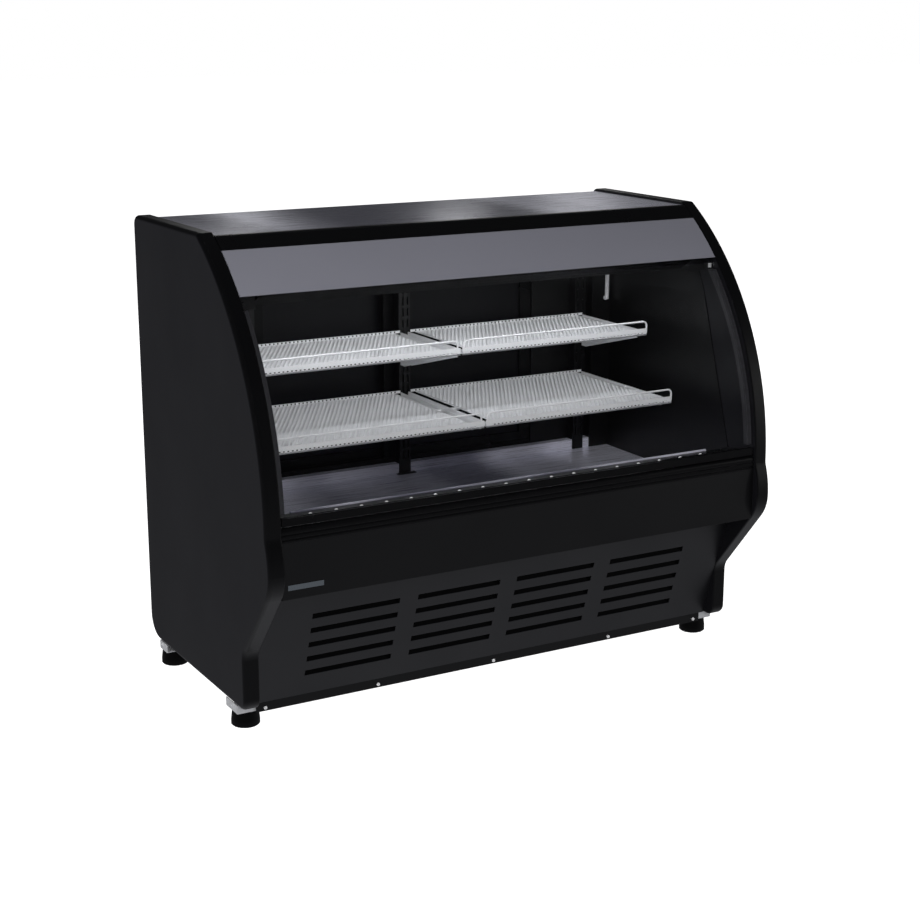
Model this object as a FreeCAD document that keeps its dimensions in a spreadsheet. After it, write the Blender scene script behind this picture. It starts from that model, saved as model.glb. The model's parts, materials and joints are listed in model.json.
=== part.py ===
"""Refrigerated deli case with a curved tilting front glass, two rear sliding doors and four shelves.

Frame: X runs across the case, -Y is the customer's side, +Y the server's side, +Z is up.
The origin is on the floor, under the middle of the case's bounding box. Lengths are millimetres.
"""
import FreeCAD, Part
import math
import os
import re
import Sketcher

Vector = FreeCAD.Vector
Rotation = FreeCAD.Rotation

SIZES = {
    # side panels
    "case_width": 1500, "side_thickness": 42.5, "front_y": -420, "rear_y": 420, "top_z": 1240,
    "panel_bottom_z": 70, "bow_centre_y": 407, "bow_centre_z": 560, "bow_radius": 810,
    "belly_z": 470, "belly_upper_radius": 235, "belly_lower_radius": 100, "kink_radius": 30,
    "toe_y": -245, "toe_slope": 39.6, "toe_blend": 45, "toe_corner": 28, "heel_corner": 65,
    "top_front_corner": 9, "top_rear_corner": 25, "rim_round": 11, "inner_rim_round": 4,
    # inner width between the side panels
    "inner_half": 707.5, "gap": 0.3,
    # canopy
    "sheet_top_z": 1232, "sheet_thickness": 8, "sheet_front_y": -30, "fascia_radius": 809,
    "fascia_top_z": 1200.5, "fascia_bottom_z": 1103, "fascia_thickness": 3,
    "ceiling_z": 1098, "ceiling_thickness": 2, "lip_y": -120, "lip_z": 1067, "lip_end_x": 648,
    "lamp_y": -84, "lamp_z": 1084, "lamp_radius": 8, "lamp_half": 645,
    # front glass and its hinge rail
    "glass_radius": 799, "glass_thickness": 6, "glass_top_z": 1097.5, "glass_bottom_z": 592.5,
    "glass_half": 703, "hinge_y": -388, "hinge_z": 592, "rail_half_depth": 7,
    "rail_bottom_z": 584.5, "rail_top_z": 604, "pin_radius": 4, "pin_half": 713,
    "gasket_radius": 792.7, "gasket_thickness": 13, "gasket_width": 17, "gasket_bottom_z": 612,
    "gasket_top_z": 1070,
    # front of the lower body
    "nose_y": -397, "nose_bottom_z": 545, "nose_top_z": 581, "nose_wall": 4, "well_front_y": -284,
    "groove_depth": 3, "groove_height": 3.5, "groove_low_z": 550, "groove_high_z": 562,
    "rivet_y": -311, "rivet_pitch": 69.4, "rivet_radius": 4.5, "rivet_height": 1.4,
    "lip_half": 630, "lip_tube_radius": 4, "seam_z": 403, "panel_thickness": 2,
    "grille_tilt": 17.63, "grille_foot_y": -195.9, "grille_foot_z": 68, "grille_length": 350,
    "louvre_length": 246, "louvre_height": 16, "louvre_pitch": 44.3, "louvre_first": 60,
    "louvre_inner": 26, "louvre_outer": 325,
    # well and deck
    "well_bottom_z": 343, "well_floor_z": 385, "well_wall_front_y": -235, "shoulder_y": -270,
    "well_wall_rear_y": 270, "deck_z": 462, "deck_thickness": 3, "step_y": 312, "step_z": 491,
    "step_rear_y": 338, "well_rear_y": 416, "liner_thickness": 2.3,
    # back frame, sliding doors
    "frame_front_y": 340, "frame_rear_y": 395, "door_half": 446, "door_top_z": 1080,
    "post_inner_x": 641, "notch_margin": 0.5, "track_height": 13, "track_base": 3,
    "track_wall": 2, "inner_lane_y": 344.5, "outer_lane_y": 368.5, "leaf_thickness": 20,
    "leaf_reach": 48, "leaf_gap": 2, "stile_width": 36, "pane_thickness": 5,
    "pull_width": 20, "pull_height": 120, "pull_depth": 9, "pull_z": 785,
    # shelves
    "centre_post_half": 18, "post_front_y": 308, "post_rear_y": 338, "standard_inner_x": 580,
    "standard_outer_x": 616, "slot_left_x": -5, "slot_right_x": 10, "side_slot_spread": 9.5,
    "slot_pitch": 32, "slot_height": 24, "slot_width": 5.5,
    "mesh_inner_x": 31, "mesh_outer_x": 588, "shelf_rear_y": 305, "shelf_thickness": 2,
    "upper_shelf_front_y": -18, "lower_shelf_front_y": -145, "upper_shelf_z": 876,
    "lower_shelf_z": 702, "lip_inner_x": 3, "lip_outer_x": 609, "shelf_lip_rise": 9,
    "shelf_lip_drop": 11, "flange_inner_x": 17, "flange_outer_x": 603, "flange_rise": 7,
    "wire_radius": 2.5, "wire_inner_x": 9.5, "wire_outer_x": 611, "wire_offset": 4.8,
    "wire_rise": 28, "wire_drop": 6, "wire_foot": 14, "wire_bend": 12, "wire_foot_bend": 5,
    "arm_inner_x": 10.5, "arm_outer_x": 606, "arm_thickness": 3, "arm_depth": 94,
    "arm_nose": 12, "arm_step": 25, "bar_radius": 4, "upper_bar_y": 135, "lower_bar_y": 75,
    # base
    "base_z": 67, "base_thickness": 3, "base_front_y": -193, "base_rear_y": 400, "base_half": 735,
    "rail_bottom": 42, "rail_half": 697, "foot_x": 708, "foot_front_y": -148, "foot_rear_y": 350,
    "foot_radius": 37, "foot_height": 40, "stud_radius": 6, "stud_top_z": 64,
    "stud_clearance": 0.06, "bracket_half": 37, "bracket_z": 44, "bracket_thickness": 3,
    "service_y": 398, "service_thickness": 2,
    # machinery
    "condenser_x": -60, "condenser_y": -130, "condenser_half_width": 170, "condenser_depth": 50,
    "condenser_height": 240, "fan_radius": 105, "fan_hub_radius": 28, "fan_shaft_radius": 4,
    "compressor_x": 380, "compressor_y": 90, "compressor_radius": 90, "compressor_height": 215,
    "blower_y": -150, "blower_z": 422, "blower_radius": 26, "blower_half": 240,
    "coil_half": 420, "coil_front_y": -80, "coil_rear_y": 160, "coil_bottom_z": 392,
    "coil_top_z": 450, "drain_x": -520, "drain_y": 200, "drain_radius": 13.5, "drain_wall": 2.5,
    # controls on the back
    "control_x": 480, "control_z": 330, "control_half_width": 95, "control_half_height": 36,
    "control_face_y": 405, "knob_radius": 19, "switch_half": 11,
    "rocker_depth": 2.2, "rocker_pin_radius": 1.2,
}

doc = FreeCAD.newDocument("deli_case")
sheet = doc.addObject("Spreadsheet::Sheet", "Sizes")
for row, (alias, number) in enumerate(SIZES.items(), 1):
    sheet.set(f"A{row}", alias)
    sheet.set(f"B{row}", str(number))
    sheet.setAlias(f"B{row}", alias)
doc.recompute()

SIDES = (("left", -1), ("right", 1))
nodes = []


def size(alias):
    """One driving dimension, read from the sheet."""
    return float(sheet.get(alias))


def bind(item, path, rule):
    """Bind a property to a rule written in the sheet's names."""
    item.setExpression(path, re.sub(r"[a-z][a-z_]*", r"Sizes.\g<0>", rule))


def node(item, label):
    """Name a finished sub-part and list it for export."""
    item.Label = label
    nodes.append(item)
    return item


def place(item, at):
    """Bind an item's position to three rules."""
    for letter, rule in zip("xyz", at):
        bind(item, f"Placement.Base.{letter}", rule)


# ---------------------------------------------------------------- building blocks
def box(name, x, y, z):
    """A block between three pairs of limits."""
    item = doc.addObject("Part::Box", name)
    for side, (low, high) in zip(("Length", "Width", "Height"), (x, y, z)):
        bind(item, side, f"({high}) - ({low})")
    place(item, (x[0], y[0], z[0]))
    return item


TURNS = {"x": Rotation(Vector(0, 1, 0), 90), "y": Rotation(Vector(1, 0, 0), -90), "z": Rotation()}


def rod(name, radius, length, start, along="z"):
    """A cylinder that runs from its start along an axis."""
    item = doc.addObject("Part::Cylinder", name)
    bind(item, "Radius", radius)
    bind(item, "Height", length)
    item.Placement = FreeCAD.Placement(Vector(), TURNS[along])
    place(item, start)
    return item


def fuse(name, items):
    """One solid from touching pieces."""
    item = doc.addObject("Part::MultiFuse", name)
    item.Shapes = items
    item.Refine = True
    return item


def group(name, items):
    """Separate solids kept together."""
    item = doc.addObject("Part::Compound", name)
    item.Links = items
    return item


def cut(name, base, tools):
    """A base less all its tools."""
    item = doc.addObject("Part::Cut", name)
    item.Base = base
    item.Tool = tools[0] if len(tools) == 1 else group(f"{name}_tools", tools)
    return item


def sketch_on(body, role):
    """An empty sketch on one of the body's own origin planes."""
    plane = next(f for f in body.Origin.OriginFeatures if f.Role == role)
    sketch = body.newObject("Sketcher::SketchObject", f"{body.Name}_sketch")
    sketch.AttachmentSupport = [(plane, "")]
    sketch.MapMode = "FlatFace"
    return sketch


def outline(body, role, corners):
    """A closed straight-sided outline whose corners are pairs of rules."""
    sketch = sketch_on(body, role)
    count = len(corners)
    start = [Vector(100 * math.cos(2 * math.pi * i / count), 100 * math.sin(2 * math.pi * i / count))
             for i in range(count)]
    edges = [sketch.addGeometry(Part.LineSegment(start[i], start[(i + 1) % count]))
             for i in range(count)]
    for i, edge in enumerate(edges):
        sketch.addConstraint(Sketcher.Constraint("Coincident", edge, 2, edges[(i + 1) % count], 1))
    for edge, corner, point in zip(edges, corners, start):
        for kind, rule, value in zip(("DistanceX", "DistanceY"), corner, point):
            index = sketch.addConstraint(Sketcher.Constraint(kind, -1, 1, edge, 1, value))
            bind(sketch, f"Constraints[{index}]", rule)
    return sketch


def pad(body, sketch, length):
    """Pad a sketch by a rule."""
    item = body.newObject("PartDesign::Pad", f"{body.Name}_pad")
    item.Profile = sketch
    bind(item, "Length", length)
    return item


def section(name, corners, x):
    """An extrusion along X of an outline in (y, z)."""
    body = doc.addObject("PartDesign::Body", name)
    pad(body, outline(body, "YZ_Plane", corners), f"({x[1]}) - ({x[0]})")
    bind(body, "Placement.Base.x", x[0])
    return body


def turned(name, corners, at):
    """A solid of revolution about Z from an outline in (radius, z)."""
    body = doc.addObject("PartDesign::Body", name)
    sketch = outline(body, "XZ_Plane", corners)
    item = body.newObject("PartDesign::Revolution", f"{name}_turn")
    item.Profile = sketch
    item.ReferenceAxis = (sketch, ["V_Axis"])
    item.Angle = 360
    place(body, at)
    return body


def bow_y(radius, z):
    """Where a circle about the bow's centre, on the customer's side, meets a height."""
    rise = z - size("bow_centre_z")
    return size("bow_centre_y") - math.sqrt(radius ** 2 - rise ** 2)


def bow_strip(name, radius_rule, thickness_rule, top, bottom, x):
    """A curved strip about the bow's centre, with level ends, extruded along X."""
    body = doc.addObject("PartDesign::Body", name)
    sketch = sketch_on(body, "YZ_Plane")
    centre = Vector(size("bow_centre_y"), size("bow_centre_z"))
    outer = size(radius_rule)
    arcs = []
    for radius in (outer, outer - size(thickness_rule)):
        high = Vector(bow_y(radius, size(top)), size(top))
        low = Vector(bow_y(radius, size(bottom)), size(bottom))
        circle = Part.Circle(Vector(centre.x, centre.y, 0), Vector(0, 0, 1), radius)
        ends = [math.atan2(p.y - centre.y, p.x - centre.x) for p in (high, low)]
        arcs.append((sketch.addGeometry(Part.ArcOfCircle(circle, ends[0], ends[1])), high, low))
    (outer_arc, outer_high, outer_low), (inner_arc, inner_high, inner_low) = arcs
    head = sketch.addGeometry(Part.LineSegment(outer_high, inner_high))
    foot = sketch.addGeometry(Part.LineSegment(outer_low, inner_low))
    joins = ((head, 1, outer_arc, 1), (head, 2, inner_arc, 1), (foot, 1, outer_arc, 2),
             (foot, 2, inner_arc, 2))
    for join in joins:
        sketch.addConstraint(Sketcher.Constraint("Coincident", *join))
    rules = [("Radius", (outer_arc,), radius_rule, outer),
             ("Radius", (inner_arc,), f"{radius_rule} - {thickness_rule}", outer - size(thickness_rule))]
    for arc in (outer_arc, inner_arc):
        rules.append(("DistanceX", (-1, 1, arc, 3), "bow_centre_y", centre.x))
        rules.append(("DistanceY", (-1, 1, arc, 3), "bow_centre_z", centre.y))
        rules.append(("DistanceY", (-1, 1, arc, 1), top, size(top)))
        rules.append(("DistanceY", (-1, 1, arc, 2), bottom, size(bottom)))
    for kind, targets, rule, value in rules:
        index = sketch.addConstraint(Sketcher.Constraint(kind, *targets, value))
        bind(sketch, f"Constraints[{index}]", rule)
    pad(body, sketch, f"({x[1]}) - ({x[0]})")
    bind(body, "Placement.Base.x", x[0])
    return body


# ---------------------------------------------------------------- side panels
def circles_meet(first, first_radius, second, second_radius):
    """The meeting point of two circles that lies further towards the customer."""
    line = second - first
    span = line.Length
    along = (first_radius ** 2 - second_radius ** 2 + span ** 2) / (2 * span)
    across = math.sqrt(first_radius ** 2 - along ** 2)
    unit = line / span
    normal = Vector(-unit.y, unit.x)
    options = [first + unit * along + normal * side * across for side in (1, -1)]
    return min(options, key=lambda point: point.x)


def arc_between(centre, radius, start, end):
    """The shorter arc about a centre between two points on it."""
    middle = (start + end) / 2 - centre
    top = centre + middle * (radius / middle.Length)
    return Part.Arc(start, top, end)


def side_outline():
    """Edges of the side panel in (y, z), clockwise from the top rear corner."""
    top, rear, bottom = size("top_z"), size("rear_y"), size("panel_bottom_z")
    toe = size("toe_y")
    bow, bow_radius = Vector(size("bow_centre_y"), size("bow_centre_z")), size("bow_radius")
    belly_front = Vector(size("front_y"), size("belly_z"))
    upper = Vector(belly_front.x + size("belly_upper_radius"), belly_front.y)
    lower = Vector(belly_front.x + size("belly_lower_radius"), belly_front.y)
    slope = math.radians(size("toe_slope"))
    down = Vector(math.sin(slope), -math.cos(slope))
    belly_end = lower + Vector(-math.cos(slope), -math.sin(slope)) * size("belly_lower_radius")
    bend = belly_end + down * ((toe - belly_end.x) / down.x)
    toe_reach = size("toe_blend") * math.tan(slope / 2)
    toe_centre = bend + Vector(-size("toe_blend"), -toe_reach)
    kink = circles_meet(upper, size("belly_upper_radius") + size("kink_radius"),
                        bow, bow_radius + size("kink_radius"))
    kink_low = upper + (kink - upper) * (size("belly_upper_radius") / (kink - upper).Length)
    kink_high = bow + (kink - bow) * (bow_radius / (kink - bow).Length)
    nose = size("top_front_corner")
    nose_centre = circles_meet_level(bow, bow_radius - nose, top - nose)
    nose_start = bow + (nose_centre - bow) * (bow_radius / (nose_centre - bow).Length)
    heel, toe_corner, back = size("heel_corner"), size("toe_corner"), size("top_rear_corner")
    points = {
        "heel": Vector(rear - heel, bottom + heel), "toe": Vector(toe + toe_corner, bottom + toe_corner),
        "back": Vector(rear - back, top - back),
    }
    toe_end = bend - down * toe_reach
    return [
        Part.LineSegment(Vector(rear, top - back), Vector(rear, bottom + heel)),
        arc_between(points["heel"], heel, Vector(rear, bottom + heel), Vector(rear - heel, bottom)),
        Part.LineSegment(Vector(rear - heel, bottom), Vector(toe + toe_corner, bottom)),
        arc_between(points["toe"], toe_corner, Vector(toe + toe_corner, bottom),
                    Vector(toe, bottom + toe_corner)),
        Part.LineSegment(Vector(toe, bottom + toe_corner), Vector(toe, toe_centre.y)),
        arc_between(toe_centre, size("toe_blend"), Vector(toe, toe_centre.y), toe_end),
        Part.LineSegment(toe_end, belly_end),
        arc_between(lower, size("belly_lower_radius"), belly_end, belly_front),
        arc_between(upper, size("belly_upper_radius"), belly_front, kink_low),
        arc_between(kink, size("kink_radius"), kink_low, kink_high),
        arc_between(bow, bow_radius, kink_high, nose_start),
        arc_between(nose_centre, nose, nose_start, Vector(nose_centre.x, top)),
        Part.LineSegment(Vector(nose_centre.x, top), Vector(rear - back, top)),
        arc_between(points["back"], back, Vector(rear - back, top), Vector(rear, top - back)),
    ]


def circles_meet_level(centre, radius, z):
    """Where a circle crosses a height on the customer's side."""
    return Vector(centre.x - math.sqrt(radius ** 2 - (z - centre.y) ** 2), z)


def rim_edges(shape, x):
    """Names of the edges that lie in the plane at x."""
    return [f"Edge{i}" for i, edge in enumerate(shape.Edges, 1)
            if all(abs(vertex.X - x) < 1e-6 for vertex in edge.Vertexes)
            and abs(edge.CenterOfMass.x - x) < 1e-6]


def round_rim(body, base, x, radius):
    """Round the rim that lies in one plane."""
    doc.recompute()
    item = body.newObject("PartDesign::Fillet", f"{body.Name}_round")
    item.Base = (base, rim_edges(base.Shape, x))
    bind(item, "Radius", radius)
    return item


def pin_hole(body, inner_x):
    """A blind hole for the glass hinge pin, in the panel's inner face."""
    sketch = sketch_on(body, "YZ_Plane")
    circle = sketch.addGeometry(Part.Circle(Vector(size("hinge_y"), size("hinge_z"), 0),
                                            Vector(0, 0, 1), size("pin_radius") + size("gap")))
    for kind, targets, rule, value in (
            ("Radius", (circle,), "pin_radius + gap", size("pin_radius") + size("gap")),
            ("DistanceX", (-1, 1, circle, 3), "hinge_y", size("hinge_y")),
            ("DistanceY", (-1, 1, circle, 3), "hinge_z", size("hinge_z"))):
        index = sketch.addConstraint(Sketcher.Constraint(kind, *targets, value))
        bind(sketch, f"Constraints[{index}]", rule)
    pocket = body.newObject("PartDesign::Pocket", f"{body.Name}_pin_hole")
    pocket.Profile = sketch
    pocket.Length = 9
    if inner_x > 0:
        sketch.AttachmentOffset = FreeCAD.Placement(Vector(0, 0, inner_x), Rotation())
    else:
        pocket.Reversed = True
    return pocket


def side_panels():
    """Two moulded side panels."""
    thickness = size("side_thickness")
    for side, sign in SIDES:
        body = doc.addObject("PartDesign::Body", f"side_panel_{side}")
        sketch = sketch_on(body, "YZ_Plane")
        for curve in side_outline():
            sketch.addGeometry(curve)
        blank = pad(body, sketch, "side_thickness")
        outer, inner = (0, thickness) if sign < 0 else (thickness, 0)
        rounded = round_rim(body, blank, outer, "rim_round")
        round_rim(body, rounded, inner, "inner_rim_round")
        pin_hole(body, inner)
        bind(body, "Placement.Base.x", "case_width / -2" if sign < 0 else "inner_half")
        node(body, f"side_panel_{side}")


# ---------------------------------------------------------------- canopy
def canopy():
    """Top sheet, front bar, curved fascia, ceiling and lamp."""
    across = ("-inner_half", "inner_half")
    node(section("top_sheet", [
        ("sheet_front_y", "sheet_top_z"), ("sheet_front_y", "sheet_top_z - sheet_thickness"),
        ("frame_rear_y + 1", "sheet_top_z - sheet_thickness"), ("frame_rear_y + 1", "sheet_top_z - 36"),
        ("frame_rear_y + 4", "sheet_top_z - 36"), ("frame_rear_y + 4", "sheet_top_z")], across),
        "top_sheet")
    node(section("top_front_bar", [
        ("sheet_front_y", "sheet_top_z"), ("sheet_front_y - 15", "sheet_top_z"),
        ("sheet_front_y - 21", "sheet_top_z - 3"), ("sheet_front_y - 57", "fascia_top_z + 0.5"),
        ("sheet_front_y - 47", "fascia_top_z + 0.5"), ("sheet_front_y - 18", "sheet_top_z - 12"),
        ("sheet_front_y", "sheet_top_z - 12")], across), "top_front_bar")
    node(bow_strip("canopy_fascia", "fascia_radius", "fascia_thickness", "fascia_top_z",
                   "fascia_bottom_z", across), "canopy_fascia")
    lip = section("ceiling_lip", [
        ("lip_y - 61", "ceiling_z + 8"), ("lip_y", "lip_z"), ("lip_y + 14", "lip_z"),
        ("lip_y + 28", "ceiling_z"), ("lip_y + 40", "ceiling_z"),
        ("lip_y + 40", "ceiling_z + ceiling_thickness"),
        ("lip_y + 26.7", "ceiling_z + ceiling_thickness"),
        ("lip_y + 12.7", "lip_z + ceiling_thickness"), ("lip_y + 0.5", "lip_z + ceiling_thickness"),
        ("lip_y - 60", "ceiling_z + 10")], ("-lip_end_x", "lip_end_x"))
    flat = box("ceiling_flat", across, ("lip_y + 40", "frame_front_y - 2"),
               ("ceiling_z", "ceiling_z + ceiling_thickness"))
    node(fuse("canopy_ceiling", [lip, flat]), "canopy_ceiling")
    tube = rod("lamp_tube", "lamp_radius", "2 * lamp_half", ("-lamp_half", "lamp_y", "lamp_z"), "x")
    node(tube, "canopy_lamp")
    holders = []
    for side, sign in SIDES:
        wall = "inner_half - liner_thickness"
        x = ("lip_end_x + 0.5", wall) if sign > 0 else (f"-({wall})", "-lip_end_x - 0.5")
        holders.append(box(f"lamp_holder_{side}", x, ("lip_y - 26", "lip_y + 39"),
                           ("lip_z - 5", "ceiling_z + ceiling_thickness")))
    node(group("lamp_holders", holders), "lamp_holders")


# ---------------------------------------------------------------- front glass
def front_glass():
    """The bent glass, the rail that it turns on, its side gaskets and its upper stops."""
    span = ("-glass_half", "glass_half")
    node(bow_strip("front_glass", "glass_radius", "glass_thickness", "glass_top_z", "glass_bottom_z",
                   span), "front_glass")
    rail = box("rail_bar", span, ("hinge_y - rail_half_depth", "hinge_y + rail_half_depth"),
               ("rail_bottom_z", "rail_top_z"))
    pins = rod("rail_pins", "pin_radius", "2 * pin_half", ("-pin_half", "hinge_y", "hinge_z"), "x")
    groove = bow_strip("rail_groove", "glass_radius", "glass_thickness", "glass_top_z",
                       "glass_bottom_z", span)
    node(cut("glass_hinge_rail", fuse("rail_blank", [rail, pins]), [groove]), "glass_hinge_rail")
    stops, gaskets = [], []
    for side, sign in SIDES:
        x = ("inner_half - gasket_width", "inner_half")
        if sign < 0:
            x = ("-inner_half", "gasket_width - inner_half")
        gaskets.append(bow_strip(f"gasket_{side}", "gasket_radius", "gasket_thickness", "gasket_top_z",
                                 "gasket_bottom_z", x))
        stops.append(box(f"stop_{side}", x, ("lip_y - 60", "lip_y - 48"), ("lip_z + 5", "lip_z + 20")))
    node(group("glass_gaskets", gaskets), "glass_gaskets")
    node(group("glass_stops", stops), "glass_stops")


# ---------------------------------------------------------------- front of the lower body
def front_panels():
    """Nose extrusion with its rivets, the well's bright lip, the upper panel and the louvred one."""
    across = ("-inner_half", "inner_half")
    corners = [("nose_y", "nose_bottom_z")]
    for z in ("groove_low_z", "groove_high_z"):
        corners += [("nose_y", z), ("nose_y + groove_depth", z),
                    ("nose_y + groove_depth", f"{z} + groove_height"), ("nose_y", f"{z} + groove_height")]
    corners += [("nose_y", "nose_top_z - 3"), ("nose_y + 3", "nose_top_z"),
                ("well_front_y", "nose_top_z"), ("well_front_y", "nose_top_z - nose_wall"),
                ("nose_y + 2 * nose_wall", "nose_top_z - nose_wall"),
                ("nose_y + 2 * nose_wall", "nose_bottom_z")]
    node(section("front_nose_profile", corners, across), "front_nose_profile")
    rivets = [rod(f"rivet_{i}", "rivet_radius", "rivet_height",
                  (f"rivet_pitch * {i - 8.5}", "rivet_y", "nose_top_z")) for i in range(18)]
    node(group("ledge_rivets", rivets), "ledge_rivets")
    node(rod("well_lip", "lip_tube_radius", "2 * lip_half",
             ("-lip_half", "well_front_y + lip_tube_radius", "nose_top_z"), "x"), "well_lip")
    node(section("upper_front_panel", [
        ("nose_y", "nose_bottom_z"), ("nose_y", "seam_z"), ("nose_y + 100", "seam_z"),
        ("nose_y + 100", "seam_z + panel_thickness"),
        ("nose_y + panel_thickness", "seam_z + panel_thickness"),
        ("nose_y + panel_thickness", "nose_bottom_z")], across), "upper_front_panel")
    badge = box("badge", ("-692", "-598"), ("nose_y - 1.2", "nose_y"), ("seam_z + 23", "seam_z + 36"))
    node(badge, "badge_plate")
    blank = box("grille_blank", across, ("0", "panel_thickness"), ("0", "grille_length"))
    slots = []
    for level in range(5):
        low = f"louvre_first + louvre_pitch * {level}"
        for x in (("-louvre_outer - louvre_length", "-louvre_outer"),
                  ("-louvre_inner - louvre_length", "-louvre_inner"),
                  ("louvre_inner", "louvre_inner + louvre_length"),
                  ("louvre_outer", "louvre_outer + louvre_length")):
            slots.append(box("louvre", x, ("-1", "panel_thickness + 1"), (low, f"{low} + louvre_height")))
    grille = cut("lower_grille_panel", blank, slots)
    grille.Placement = FreeCAD.Placement(Vector(), Rotation(Vector(1, 0, 0), size("grille_tilt")))
    bind(grille, "Placement.Rotation.Angle", "grille_tilt")
    place(grille, ("0", "grille_foot_y", "grille_foot_z"))
    node(grille, "lower_grille_panel")


# ---------------------------------------------------------------- well and deck
def well():
    """Foam-filled well, its stainless deck pan and the inner side liners."""
    across = ("-inner_half", "inner_half")
    under = "deck_z - deck_thickness"
    foam = section("well_foam", [
        ("nose_y + 8", "seam_z + 4"), ("nose_y + 8", "nose_top_z - nose_wall"),
        ("well_front_y", "nose_top_z - nose_wall"), ("well_front_y", under),
        ("well_wall_front_y", under), ("well_wall_front_y", "well_floor_z"),
        ("well_wall_rear_y", "well_floor_z"), ("well_wall_rear_y", under),
        ("step_y + deck_thickness", under), ("step_y + deck_thickness", "step_z - deck_thickness"),
        ("well_rear_y", "step_z - deck_thickness"), ("well_rear_y", "well_bottom_z"),
        ("shoulder_y", "well_bottom_z"), ("shoulder_y", "seam_z + 4")], across)
    pan = section("deck_sheet", [
        ("well_front_y", under), ("well_front_y", "nose_top_z - 5"),
        ("well_front_y + deck_thickness", "nose_top_z - 5"), ("well_front_y + deck_thickness", "deck_z"),
        ("step_y", "deck_z"), ("step_y", "step_z"), ("step_rear_y", "step_z"),
        ("step_rear_y", "step_z - deck_thickness"), ("step_y + deck_thickness", "step_z - deck_thickness"),
        ("step_y + deck_thickness", under)],
        ("liner_thickness - inner_half", "inner_half - liner_thickness"))
    notches = []
    for low, high in (("-centre_post_half", "centre_post_half"), ("-standard_outer_x", "-standard_inner_x"),
                      ("standard_inner_x", "standard_outer_x"), ("-inner_half", "-post_inner_x"),
                      ("post_inner_x", "inner_half")):
        notches.append(box("post_notch", (f"{low} - notch_margin", f"{high} + notch_margin"),
                           ("post_front_y - notch_margin", "post_rear_y + 3"), (under, "step_z + 1")))
    node(cut("insulated_well", foam, [group("foam_notches", notches)]), "insulated_well")
    node(cut("deck_pan", pan, [group("pan_notches", notches)]), "deck_pan")
    liners = []
    for side, sign in SIDES:
        x = ("inner_half - liner_thickness", "inner_half")
        if sign < 0:
            x = ("-inner_half", "liner_thickness - inner_half")
        liners.append(section(f"side_liner_{side}", [
            ("well_front_y", "nose_top_z"), ("well_front_y + 9", under), ("post_front_y", under),
            ("post_front_y", "ceiling_z"),
            ("lip_y + 34", "ceiling_z"), ("lip_y + 20", "lip_z"), ("lip_y", "lip_z"),
            ("lip_y - 30", "lip_z - 60")], x))
    node(group("side_liners", liners), "side_liners")


# ---------------------------------------------------------------- back frame and doors
def back_frame():
    """Insulated door surround with its corner posts, and the two door tracks."""
    blank = box("surround", ("-inner_half", "inner_half"), ("frame_front_y", "frame_rear_y"),
                ("step_z", "sheet_top_z - sheet_thickness"))
    opening = box("door_opening", ("-door_half", "door_half"), ("frame_front_y - 1", "frame_rear_y + 1"),
                  ("step_z - 1", "door_top_z"))
    posts = []
    for x in (("-inner_half", "-post_inner_x"), ("post_inner_x", "inner_half")):
        posts.append(box("corner_post", x, ("post_front_y", "frame_front_y"),
                         ("deck_z - deck_thickness", "ceiling_z")))
    node(fuse("rear_frame", [cut("surround_ring", blank, [opening])] + posts), "rear_frame")
    lanes = (("inner_lane_y - 1 - track_wall", "inner_lane_y - 1"),
             ("inner_lane_y + leaf_thickness + 1", "outer_lane_y - 1"),
             ("outer_lane_y + leaf_thickness + 1", "outer_lane_y + leaf_thickness + 1 + track_wall"))
    run = ("-door_half", "door_half")
    low, high = [], []
    web = (lanes[0][0], lanes[2][1])
    low.append(box("track_web", run, web, ("step_z", "step_z + track_base")))
    high.append(box("track_web", run, web, ("door_top_z - track_base", "door_top_z")))
    for lane in lanes:
        low.append(box("track_rib", run, lane, ("step_z", "step_z + track_height")))
        high.append(box("track_rib", run, lane, ("door_top_z - track_height", "door_top_z")))
    node(group("door_tracks", [fuse("track_lower", low), fuse("track_upper", high)]), "door_tracks")


def doors():
    """Two sliding leaves: a framed pane each, with a finger pull let into the outer stile."""
    lane = {"left": "outer_lane_y", "right": "inner_lane_y"}
    bottom, top = "step_z + track_base + 0.5", "door_top_z - track_base - 0.5"
    for side, sign in SIDES:
        near, far = "-leaf_reach", "door_half - leaf_gap"
        x = (near, far) if sign > 0 else (f"-({far})", "leaf_reach")
        y = (lane[side], f"{lane[side]} + leaf_thickness")
        blank = box(f"leaf_{side}", x, y, (bottom, top))
        clear_x = (f"{x[0]} + stile_width", f"{x[1]} - stile_width")
        window = box(f"window_{side}", clear_x, (f"{y[0]} - 1", f"{y[1]} + 1"),
                     (f"{bottom} + stile_width", f"{top} - stile_width"))
        pane_y = (f"{y[0]} + 7.5", f"{y[0]} + 7.5 + pane_thickness")
        edge = "stile_width - 8"
        rebate = box(f"rebate_{side}", (f"{x[0]} + {edge}", f"{x[1]} - ({edge})"), pane_y,
                     (f"{bottom} + {edge}", f"{top} - ({edge})"))
        middle = "stile_width / 2"
        pull_x = (f"{x[1]} - {middle} - pull_width / 2", f"{x[1]} - {middle} + pull_width / 2")
        if sign < 0:
            pull_x = (f"{x[0]} + {middle} - pull_width / 2", f"{x[0]} + {middle} + pull_width / 2")
        pull = box(f"pull_{side}", pull_x, (f"{y[1]} - pull_depth", f"{y[1]} + 1"),
                   ("pull_z - pull_height / 2", "pull_z + pull_height / 2"))
        node(cut(f"door_{side}_frame", blank, [window, rebate, pull]), f"door_{side}_frame")
        pane = box(f"pane_{side}", (f"{x[0]} + {edge}", f"{x[1]} - ({edge})"), pane_y,
                   (f"{bottom} + {edge}", f"{top} - ({edge})"))
        node(pane, f"door_{side}_glass")


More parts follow.
